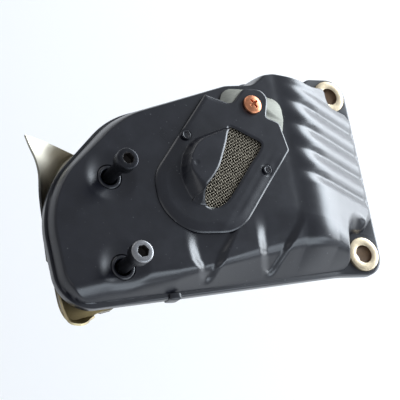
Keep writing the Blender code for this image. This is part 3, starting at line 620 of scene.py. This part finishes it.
paint = paint_look()
bare_steel = steel_look("bare_sheet_steel", (0.30, 0.27, 0.21), (0.52, 0.47, 0.37), 0.36, (0.50, 0.38, 0.20))
shield_steel = shield_look()
shield_back = steel_look(
    "shield_back_steel", (0.10, 0.105, 0.115), (0.20, 0.20, 0.205), 0.44, (0.16, 0.13, 0.10))
bright_steel = steel_look("screen_plate_steel", (0.27, 0.27, 0.235), (0.40, 0.395, 0.345), 0.5)
# near-black, far darker than bare steel: painted shade for the muffler's inside, seen through the screen
shaded_inner_steel = steel_look("inner_sheet_steel", (0.035, 0.032, 0.03), (0.07, 0.062, 0.055), 0.6)
black_steel = simple_look("black_oxide_steel", (0.035, 0.036, 0.042), 0.85, 0.36)
worn_steel = simple_look("worn_steel", (0.38, 0.38, 0.39), 1.0, 0.40, 2600, 0.05)
socket_steel = simple_look("socket_steel", (0.050, 0.044, 0.041), 0.7, 0.55, 900, 0.05)
bore_steel = simple_look("bore_steel", (0.20, 0.13, 0.08), 0.9, 0.45, 900, 0.05)
brass = simple_look("yellow_passivated_steel", (0.80, 0.67, 0.47), 1.0, 0.42)
copper = simple_look("copper_plating", (0.86, 0.36, 0.19), 1.0, 0.38)
wire = simple_look("screen_wire", (0.36, 0.32, 0.25), 1.0, 0.42, 1500)
fibre = simple_look("gasket_fibre", (0.06, 0.058, 0.055), 0.0, 0.85, 1200, 0.06)


def dress(obj, material):
    obj.data.materials.clear()
    obj.data.materials.append(material)
    return obj


# ---------------------------------------------------------------- the shells
SHELL_POLE = np.array([12.0, 2.0])
SLEEVES = [(SCREW_X, y) for y in SCREW_YS.values()]
EYELETS = [(EYELET_X, y) for y in EYELET_YS.values()]


def shell_angles(density=1.0):
    """Directions from the pole, closest together over the ribs."""
    stops = [(-95, -32, 160), (-32, 44, 260), (44, 265, 320)]
    parts = [np.linspace(a, b, int(n * density), endpoint=False) for a, b, n in stops]
    return np.radians(np.concatenate(parts))


def front_shell():
    """Pressed shell: outlet opening, face, ribs, pads, walls, and the hem rolled at the seam."""
    angles = shell_angles()
    foot = rounded(FOOT, 3)
    rim = rounded(RIM, 3)
    at_foot = reach(foot, SHELL_POLE, angles)
    at_rim = reach(rim, SHELL_POLE, angles)
    opening = reach(grown(rounded(SCREEN, 10), 0.7), SHELL_POLE, angles)
    end = smooth(-20, -50, SHELL_POLE[0] + at_foot * np.cos(angles))
    at_foot = at_foot + end * np.maximum(at_rim - 0.3 - at_foot, 0)
    shares = 1 - (1 - np.linspace(0, 1, 110)) ** 1.25
    outer = []
    for share in shares:
        xy = polar(SHELL_POLE, opening + (at_foot - opening) * share, angles)
        outer.append(lifted(xy, seam_z(xy[:, 0]) + SHEET if share == 1.0 else shell_z(xy, foot)))
    inner = offset_rings(outer, SHEET)[::3]
    inner[0] = outer[0] - [0, 0, SHEET]
    xy = polar(SHELL_POLE, at_foot - 1.15 * SHEET, angles)
    inner = inner[:-2] + [lifted(xy, seam_z(xy[:, 0]))]

    def around(inset, drop):
        ring = polar(SHELL_POLE, at_rim - inset, angles)
        return lifted(ring, seam_z(ring[:, 0]) + SHEET - drop)

    bend = 1.1 - 0.9 * end
    tall = np.interp(SHELL_POLE[0] + at_rim * np.cos(angles), [-60, -15], [3.0, HEM])
    hem = [around(bend * (1 - math.sin(a)), bend * (1 - math.cos(a))) for a in np.linspace(0, math.pi / 2, 6)]
    hem += [around(0, tall - 0.3), around(0.1, tall - 0.08), around(0.3, tall)]
    hem += [around(0.8, tall), around(0.8, SHEET)]
    shell = ring_object(
        "front_shell_pressing", outer + hem + inner[::-1], slot="black_paint", replaces=["front_shell"])
    cutters = round_cutters(SLEEVE_R + GAP, SLEEVES, 10, 40) + round_cutters(BUSH_R + GAP, EYELETS, 0, 20)
    cutters += round_cutters(COVER_HOLE_R, [COVER_SCREW], 20, 35, 32)
    carve(shell, cutters)
    return dress(shell, paint)


def rear_shell():
    """Shallow tray whose flange lies in the hem."""
    angles = shell_angles(0.6)
    at_rim = reach(rounded(RIM, 4), SHELL_POLE, angles) - 1.0
    at_foot = np.minimum(reach(rounded(FOOT, 4), SHELL_POLE, angles), at_rim)
    # the tray stands in further at the port end
    at_foot = at_foot - 0.9 - 3.6 * smooth(-45, -60, polar(SHELL_POLE, at_foot, angles)[:, 0])
    flange_top = 1.5

    def level(radius, z=None, drop=0.0):
        xy = polar(SHELL_POLE, radius, angles)
        return lifted(xy, seam_z(xy[:, 0]) - flange_top - drop if z is None else z)

    wall = polar(SHELL_POLE, at_foot, angles)
    draft = 1.2 + 0.42 * (seam_z(wall[:, 0]) - flange_top - SHEET - BACK_Z)
    draft = np.maximum(draft, at_foot - reach(rounded(REAR_FLOOR, 4), SHELL_POLE, angles))
    inner = [level((at_foot - draft - SHEET) * s, BACK_Z + SHEET) for s in (0.02, 0.35, 0.7, 0.9)]
    inner += [
        level(at_foot - draft - 1.2 - SHEET, BACK_Z + SHEET),
        level(at_foot - draft - 0.2, BACK_Z + SHEET + 0.6),
        level(at_foot - 0.5, drop=0.4), level(at_foot),
    ]
    outer = [
        level(at_foot + 0.2, drop=SHEET), level(at_foot - 0.1, drop=SHEET + 0.15),
        level(at_foot - 0.3, drop=SHEET + 0.5), level(at_foot - draft + 0.4, BACK_Z + 0.5),
        level(at_foot - draft, BACK_Z + 0.12), level(at_foot - draft - 0.6, BACK_Z),
    ]
    outer += [level((at_foot - draft) * s, BACK_Z) for s in (0.9, 0.7, 0.35, 0.02)]
    layers = inner + [level(at_rim), level(at_rim, drop=SHEET)] + outer
    shell = ring_object(
        "rear_shell_pressing", layers, hollow=False, slot="bare_steel", replaces=["rear_shell"])
    cutters = round_cutters(SLEEVE_R + GAP, SLEEVES, 0, 30) + round_cutters(BUSH_R + GAP, EYELETS, 0, 20)
    cutters.append(cutter(port_outline(0), 0, 12))
    carve(shell, cutters)
    return dress(shell, bare_steel)


def port_outline(grow):
    (x, y), (w, h) = PORT, PORT_SIZE
    w, h = w / 2 + grow, h / 2 + grow
    return rounded([(x - w, y - h, 5), (x + w, y - h, 5), (x + w, y + h, 5), (x - w, y + h, 5)], 8)


def heat_shield():
    """Sheet behind the port end. Its left edge turns up, and flares at the top."""
    # (x, y) of the base, outward run (dx, dy) of the flange, its height. From the top, down the left side
    path = [
        ((-41, 17.3), (-24.5, 2), 12.8), ((-46, 13.5), (-18.3, 0.6), 13.2), ((-49.5, 9), (-13.4, 0), 13.6),
        ((-52, 3), (-10.4, 0), 13.8), ((-54.2, -6), (-9, 0), 13.8), ((-55.3, -18), (-7.8, 0), 13.6),
        ((-55.9, -30), (-6.5, 0), 13.4), ((-55.6, -40), (-5.4, -0.5), 13.0),
        ((-54.8, -45.5), (-5, -2.5), 12.6), ((-53, -49.2), (-4.6, -4.6), 12.0),
        ((-50.2, -50.6), (-2.4, -4.4), 11.0), ((-47.2, -50), (-1.2, -3.4), 7.8),
        ((-44.8, -49.4), (-0.5, -1.8), 3.6), ((-42.4, -49.1), (0, -0.5), 1.2),
    ]
    inner_x = -13.0
    rows = []
    for k, ((x, y), (dx, dy), height) in enumerate(path):
        share = k / (len(path) - 1)
        anchor = (inner_x, 17.3 - 55.3 * share)
        points = [(*anchor, 0), ((anchor[0] + x) / 2, (anchor[1] + y) / 2, 0)]
        points.append((x + 1.2, y + (dy < 0) * 1.2, 0))
        points += [(x + dx * s, y + dy * s, height * h) for s, h in ((0.08, 0.09), (0.5, 0.55), (1, 1))]
        rows.append([(px, py, SHIELD_Z + pz) for px, py, pz in points])
    grid = np.array(rows)
    grid = catmull(np.swapaxes(catmull(grid, 4), 0, 1), 4)
    m, n = grid.shape[:2]
    faces = [
        (i * n + j, i * n + j + 1, (i + 1) * n + j + 1, (i + 1) * n + j)
        for i in range(m - 1) for j in range(n - 1)
    ]
    shield = new_object(
        "heat_shield_sheet", put(grid.reshape(-1, 3)), faces, slot="shield_steel", replaces=["heat_shield"])
    wall = shield.modifiers.new("thickness", "SOLIDIFY")
    wall.thickness = SHIELD_T * MM
    wall.offset = 1 if shield.data.polygons[0].normal.z > 0 else -1
    bake(shield)
    cutters = round_cutters(SLEEVE_BORE_R, SLEEVES, 0, 10)
    cutters.append(cutter(port_outline(-0.5), 0, 10))
    carve(shield, cutters)
    dress(shield, shield_steel)
    shield.data.materials.append(shield_back)
    for face in shield.data.polygons:
        face.material_index = int(face.normal.z < -0.05)
    return shield


def seam_clip():
    """Small rounded tab folded round the hem at the lower edge, thinning out towards both ends."""
    x, y, width = -14.5, -46.05, 5.0
    hem_side = [(0.6, 0.45), (-0.6, 0.45), (-1.0, 0.45), (-1.2, 0.40), (-1.2, 0.2), (-1.2, -2), (-1.2, -4.2),
                (-1.15, -4.4), (-0.8, -4.4), (0.4, -4.4)]
    outside = [(0.6, 1.25), (-0.6, 1.25), (-1.2, 1.15), (-1.6, 0.85), (-1.8, 0.3), (-1.7, -2), (-1.6, -4.2),
               (-1.5, -4.7), (-1.0, -4.8), (0.4, -4.8)]
    hem_side, outside = np.array(hem_side), np.array(outside)
    layers = []
    z = float(seam_z(x)) + SHEET
    for t in np.linspace(-1, 1, 25):
        swell = 0.12 + 0.88 * (1 - abs(t) ** 2.6) ** 0.5
        section = np.vstack([hem_side, (hem_side + (outside - hem_side) * swell)[::-1]])
        at_x = x + width / 2 * t
        layers.append([(at_x, y + a, z + b) for a, b in section])
    grid = np.array(layers)
    m, n = grid.shape[:2]
    faces = grid_faces(m, n, False).tolist()
    faces += [tuple(range(n))[::-1], tuple((m - 1) * n + j for j in range(n))]
    clip = new_object("seam_tab", put(grid.reshape(-1, 3)), faces, slot="black_paint", replaces=["seam_clip"])
    return dress(clip, paint)


def catmull(grid, steps):
    """Each span between rows is filled with steps points on a Catmull-Rom curve."""
    rows = [grid[0]]
    last = len(grid) - 1
    for i in range(last):
        p0, p1, p2, p3 = grid[max(i - 1, 0)], grid[i], grid[i + 1], grid[min(i + 2, last)]
        for k in range(1, steps + 1):
            rows.append(catmull_rom(p0, p1, p2, p3, k / steps))
    return np.array(rows)


# ---------------------------------------------------------------- sleeves, screws and bushes
def sleeves():
    foot = SHIELD_Z + SHIELD_T + GAP
    for side, y in SCREW_YS.items():
        middle, half = (SLEEVE_R + SLEEVE_BORE_R) / 2, (SLEEVE_R - SLEEVE_BORE_R) / 2
        roll = 1.1  # height of the rolled mouth
        mouth = [
            (middle + half * math.cos(a), SLEEVE_TOP - roll + roll * math.sin(a))
            for a in np.linspace(0, math.pi, 13)
        ]
        profile = [(SLEEVE_BORE_R, foot), (SLEEVE_R, foot)] + mouth
        sleeve = lathe(
            f"sleeve_{side}", profile, (SCREW_X, y), slot="black_paint", replaces=[f"screw_sleeve_{side}"])
        dress(sleeve, paint)


def mounting_screws():
    r, head_r, tip, under, top = 2.5, 4.25, 0.1, 40.1, 45.1
    for side, y in SCREW_YS.items():
        profile = [
            (0, tip), (r - 0.75, tip), (r - 0.1, tip + 0.65), (r, tip + 0.9), (r, 20), (r, under - 0.3),
            (r + 0.12, under - 0.09), (r + 0.35, under), (head_r - 0.35, under), (head_r - 0.1, under + 0.1),
            (head_r, under + 0.35), (head_r, top - 0.75), (head_r - 0.12, top - 0.35),
            (head_r - 0.4, top - 0.08),
            (head_r - 0.7, top), (2.6, top), (0, top),
        ]
        screw = lathe(
            f"socket_screw_{side}", profile, (SCREW_X, y), 72, body=f"{side}_screw", slot="steel_screw",
            replaces=[f"mounting_screw_{side}"])
        flats = 4.0 / math.sqrt(3)  # corner radius of the 4 mm key
        turn = math.radians(10)
        key = [
            (SCREW_X + flats * math.cos(turn + k * math.pi / 3), y + flats * math.sin(turn + k * math.pi / 3))
            for k in range(6)
        ]
        carve(screw, [cutter(key, top - 2.8, top + 2)])
        bevel(screw, 0.12, 2, 50)
        bake(screw)
        dress(screw, black_steel)
        screw.data.materials.append(worn_steel if side == "lower" else black_steel)
        screw.data.materials.append(socket_steel)
        axis = Vector(put((SCREW_X, y, 0)))
        for face in screw.data.polygons:
            radius = (face.center.xy - axis.xy).length / MM
            z = face.center.z / MM
            face.material_index = 2 if radius < 2.35 and z > top - 3 else int(z > top - 0.6 and radius > 2.0)


def bushes():
    for side, y in EYELET_YS.items():
        c = 0.22  # chamfer
        profile = [
            (BUSH_BORE_R, c), (BUSH_BORE_R + 0.07, 0.07), (BUSH_BORE_R + c, 0),
            (BUSH_R - c, 0), (BUSH_R - 0.07, 0.07),
            (BUSH_R, c), (BUSH_R, BUSH_TOP - c), (BUSH_R - 0.07, BUSH_TOP - 0.07), (BUSH_R - c, BUSH_TOP),
            (BUSH_BORE_R + c, BUSH_TOP), (BUSH_BORE_R + 0.07, BUSH_TOP - 0.07), (BUSH_BORE_R, BUSH_TOP - c),
        ]
        bush = lathe(f"eyelet_ring_{side}", profile, (EYELET_X, y), 80, slot="brass_plate",
                     replaces=[f"eyelet_bush_{side}"])
        dress(bush, brass)
        bush.data.materials.append(bore_steel)
        axis = Vector(put((EYELET_X, y, 0)))
        for face in bush.data.polygons:
            face.material_index = int((face.center.xy - axis.xy).length < (BUSH_BORE_R + 0.03) * MM)


# ---------------------------------------------------------------- outlet
COVER_POLE = np.array([12.0, 5.0])


def cover_z(xy, edge):
    """Height of the outlet cover's underside: a flat plate, a turned-down round rim and the hood."""
    x, y = xy[:, 0], xy[:, 1]
    rim_side = smooth(22, 10, y + 0.25 * x) * smooth(40, 30, x)
    z = COVER_Z - COVER_RIM_DROP * rim_side * (1 - smooth(0, 4.5, distance(xy, edge)))
    base = np.array(HOOD_BASE)
    rise = np.where(inside(xy, np.vstack([base, COVER_POLE])), distance(xy, base, closed=False), 0)
    share = (np.hypot(rise, 0.5) - 0.5) / (2.3 + 4.4 * smooth(2, -9, y))
    return z + HOOD_HEIGHT * (1 - (1 - np.clip(share, 0, 1)) ** 2.3)


def cover_detail(xy, edge):
    """Small forms on the cover: lip, rim, the hood's dimple, rivet seats and a crease beside the window."""
    x, y = xy[:, 0], xy[:, 1]
    lip = -0.30 * (1 - smooth(0, 1.3, distance(xy, spline(WINDOW, 6)))) ** 2 * smooth(32, 24, x - 0.2 * y)
    near = distance(xy, edge)
    rim = -0.30 * (1 - smooth(0, 1.0, near)) ** 2 - 0.25 * (1 - smooth(0, 2, near)) * smooth(20, 5, x)
    dimple = -0.14 * (1 - smooth(0.3, 1.5, np.hypot(x + 4.2, y - 1.9)))
    seats = sum(-0.22 * (1 - smooth(1.9, 2.9, np.hypot(x - at[0], y - at[1]))) for at in RIVETS.values())
    beyond = (x - 15) * 0.770 - (y + 11.5) * 0.638 - 0.4  # distance past the crease
    crease = -0.14 * smooth(-0.8, 2.0, beyond) * smooth(14, 8, y) * smooth(38, 26, x)
    return lip + rim + dimple + seats + crease


def fastener_cutters():
    """Cutters for the screw hole and the rivet holes in the cover and the screen plate."""
    holes = round_cutters(COVER_HOLE_R, [COVER_SCREW], 25, 40, 32)
    return holes + round_cutters(RIVET_HOLE_R, RIVETS.values(), 25, 40, 32)


def outlet_cover():
    edge = rounded(COVER, 4)
    angles = np.radians(np.arange(0, 360, 0.6))
    outer = reach(edge, COVER_POLE, angles)
    inner = reach(spline(WINDOW, 10), COVER_POLE, angles)
    shares = np.linspace(0, 1, 110)

    def level(share, lift, inset=0.0):
        xy = polar(COVER_POLE, inner + inset + (outer - inner - 2 * inset) * share, angles)
        return lifted(xy, cover_z(xy, edge) + lift + (cover_detail(xy, edge) if lift else 0))

    layers = [level(0, COVER_T - 0.15), level(0, COVER_T - 0.04, 0.05)]
    layers += [level(share, COVER_T, 0.15) for share in shares]
    layers += [level(1, COVER_T - 0.04, 0.05), level(1, COVER_T - 0.15), level(1, 0)]
    layers += [level(share, 0) for share in shares[::-4]] + [level(0, 0)]
    cover = ring_object("hooded_cover", layers, slot="black_paint", replaces=["outlet_cover"])
    carve(cover, fastener_cutters())
    return dress(cover, paint)


def screen_plate():
    plate = prism(
        "screen_frame", rounded(PLATE, 4), PLATE_Z, PLATE_Z + PLATE_T,
        slot="bright_steel", replaces=["screen_plate"])
    window = cutter(grown(rounded(SCREEN, 10), -1.6), PLATE_Z - 3, PLATE_Z + 3)
    carve(plate, [window] + fastener_cutters())
    bevel(plate, 0.12, 2)
    bake(plate)
    return dress(plate, bright_steel)


def woven_screen():
    """Plain weave: each wire passes over and under the wires across it."""
    pitch, wire_r, sides, per_cell = 1.05, 0.17, 6, 4
    outline = grown(rounded(SCREEN, 20), -1.75)
    turn = math.radians(28)
    axes = (np.array([math.cos(turn), math.sin(turn)]), np.array([-math.sin(turn), math.cos(turn)]))
    middle = outline.mean(axis=0)
    ring = np.linspace(0, 2 * math.pi, sides, endpoint=False)
    verts, faces = [], []
    start = 0
    for way, (along, across) in enumerate((axes, axes[::-1])):
        local_along = (outline - middle) @ along
        local_across = (outline - middle) @ across
        count = int(local_across.max() / pitch) + 1
        for k in range(-count - 2, count + 3):
            offset = k * pitch
            s0, s1 = local_across, np.roll(local_across, -1)
            hit = (s0 - offset) * (s1 - offset) < 0
            if hit.sum() < 2:
                continue
            t = (offset - s0[hit]) / (s1[hit] - s0[hit])
            ends = local_along[hit] + t * (np.roll(local_along, -1)[hit] - local_along[hit])
            low, high = ends.min(), ends.max()
            if high - low < 2 * pitch:
                continue
            first, last = math.ceil(low / pitch * per_cell), math.floor(high / pitch * per_cell)
            s = np.arange(first, last + 1) * pitch / per_cell
            phase = math.pi * (k + way)
            z = WEAVE_Z + wire_r * 0.9 * np.cos(math.pi * s / pitch + phase)
            path = np.column_stack([middle + s[:, None] * along + offset * across, z])
            side = np.array([across[0], across[1], 0.0])
            spokes = np.cos(ring)[:, None] * side + np.sin(ring)[:, None] * [0, 0, 1]
            tube = path[:, None] + wire_r * spokes[None]
            verts.append(tube.reshape(-1, 3))
            faces += grid_faces(len(path), sides, False, start).tolist()
            faces.append(tuple(start + i for i in range(sides)))
            last = start + (len(path) - 1) * sides
            faces.append(tuple(last + i for i in range(sides)))
            start += len(path) * sides
    screen = new_object(
        "woven_screen", put(np.vstack(verts)), faces, slot="screen_wire", replaces=["spark_screen"], sharp=80)
    return dress(screen, wire)


def cover_screw():
    under = COVER_Z + COVER_T + 0.15
    head_r, head_h, r, shank = 4.0, 1.9, 2.0, 9.0
    profile = [(0, under - shank), (r - 0.5, under - shank), (r, under - shank + 0.6), (r, under)]
    profile += [(head_r - 0.15, under), (head_r, under + 0.15), (head_r, under + 0.8)]
    profile += [
        (head_r * math.cos(a), under + 0.8 + (head_h - 0.8) * math.sin(a)) for a in np.linspace(0.2, 1.45, 9)
    ]
    profile += [(0, under + head_h)]
    screw = lathe("pan_head_screw", profile, COVER_SCREW, 64, slot="copper_screw", replaces=["cover_screw"])
    arm, half = 2.1, 0.46
    cross = []
    for k in range(4):
        turn = math.radians(35) + k * math.pi / 2
        for px, py in ((arm, -half), (arm, half), (half, half)):
            cross.append((
                COVER_SCREW[0] + px * math.cos(turn) - py * math.sin(turn),
                COVER_SCREW[1] + px * math.sin(turn) + py * math.cos(turn),
            ))
    carve(screw, [cutter(cross, under + head_h - 1.5, under + head_h + 1)])
    bevel(screw, 0.1, 2, 45)
    bake(screw)
    return dress(screw, copper)


def rivets():
    seat = COVER_Z + COVER_T + 0.1
    for side, at in RIVETS.items():
        profile = [
            (0, PLATE_Z + 0.15), (1.1, PLATE_Z + 0.15), (1.1, seat), (1.85, seat), (1.92, seat + 0.2),
            (1.8, seat + 0.42), (1.55, seat + 0.5), (1.25, seat + 0.42), (1.05, seat + 0.2),
            (0.9, seat + 0.08),
            (0.6, seat + 0.12), (0, seat + 0.16),
        ]
        rivet = lathe(
            f"rivet_{side}", profile, at, 40, slot="black_paint", replaces=[f"cover_rivet_{side}"])
        dress(rivet, paint)


# ---------------------------------------------------------------- studio
def studio():
    scene = bpy.context.scene
    half = 2500
    corners = [(-half, -half), (half, -half), (half, half), (-half, half)]
    floor = prism("floor", corners, -180, -160, body=None)
    pale = Look("pale_floor", (0.92, 0.92, 0.92), 0.0, 0.8, Specular_IOR_Level=0.2)
    pale.link(pale.mix(pale.noise(3, 2, 0.4), (0.970, 0.952, 0.935), (0.975, 0.957, 0.940)), "Base Color")
    floor.data.materials.append(pale.material)

    world = bpy.data.worlds.new("studio")
    scene.world = world
    world.use_nodes = True
    world.node_tree.nodes["Background"].inputs["Color"].default_value = (0.86, 0.91, 1.0, 1)
    world.node_tree.nodes["Background"].inputs["Strength"].default_value = 0.38

    def softbox(name, towards, away, size, radiance, colour=(1, 1, 1)):
        """Rectangle lamp of a given radiance, away metres off in a direction, facing the part."""
        data = bpy.data.lights.new(name, "AREA")
        data.shape = "RECTANGLE"
        data.size, data.size_y = size
        data.energy = radiance * math.pi * size[0] * size[1]
        data.color = colour
        light = bpy.data.objects.new(name, data)
        scene.collection.objects.link(light)
        aim = Vector((0.02, 0.0, 0.02))
        light.location = aim + Vector(towards).normalized() * away
        light.rotation_euler = (aim - light.location).to_track_quat("-Z", "Y").to_euler()

    softbox("window", (0.86, 0.30, 0.38), 1.5, (1.3, 0.5), 9.5, (0.84, 0.92, 1.0))
    softbox("horizon", (0.95, 0.28, 0.10), 1.6, (2.2, 0.5), 8.0, (0.88, 0.94, 1.0))
    softbox("front", (0.47, -0.72, 0.42), 1.5, (1.4, 0.6), 3.3, (0.80, 0.90, 1.0))
    softbox("left_fill", (-0.75, -0.35, 0.9), 1.8, (1.2, 0.8), 0.6)
    softbox("back_fill", (-0.35, 0.95, 0.36), 1.8, (1.4, 0.6), 1.6)


def camera():
    data = bpy.data.cameras.new("camera")
    data.lens = 108
    data.sensor_width = 36
    data.dof.use_dof = False
    obj = bpy.data.objects.new("camera", data)
    bpy.context.scene.collection.objects.link(obj)
    at = Vector(put((-217.854, -157.7, 409.421)))
    back = Vector((-0.46687, -0.31702, 0.82555)).normalized()
    up = Vector((-0.00089, 0.93370, 0.35806))
    right = up.cross(back).normalized()
    up = back.cross(right)
    obj.matrix_world = Matrix.Translation(at) @ Matrix((right, up, back)).transposed().to_4x4()
    bpy.context.scene.camera = obj


camera()
studio()
front_shell()
rear_shell()
heat_shield()
seam_clip()
sleeves()
mounting_screws()
bushes()
outlet_cover()
screen_plate()
woven_screen()
cover_screw()
rivets()

for node, look in {
    "baffle_plate": shaded_inner_steel, "inlet_diffuser": shaded_inner_steel, "outlet_duct": shaded_inner_steel,
    "weld_nut": shaded_inner_steel,
    "inlet_flange": bare_steel, "exhaust_gasket": fibre,
}.items():
    dress(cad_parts[node], look)

bpy.context.scene.view_settings.view_transform = "Standard"
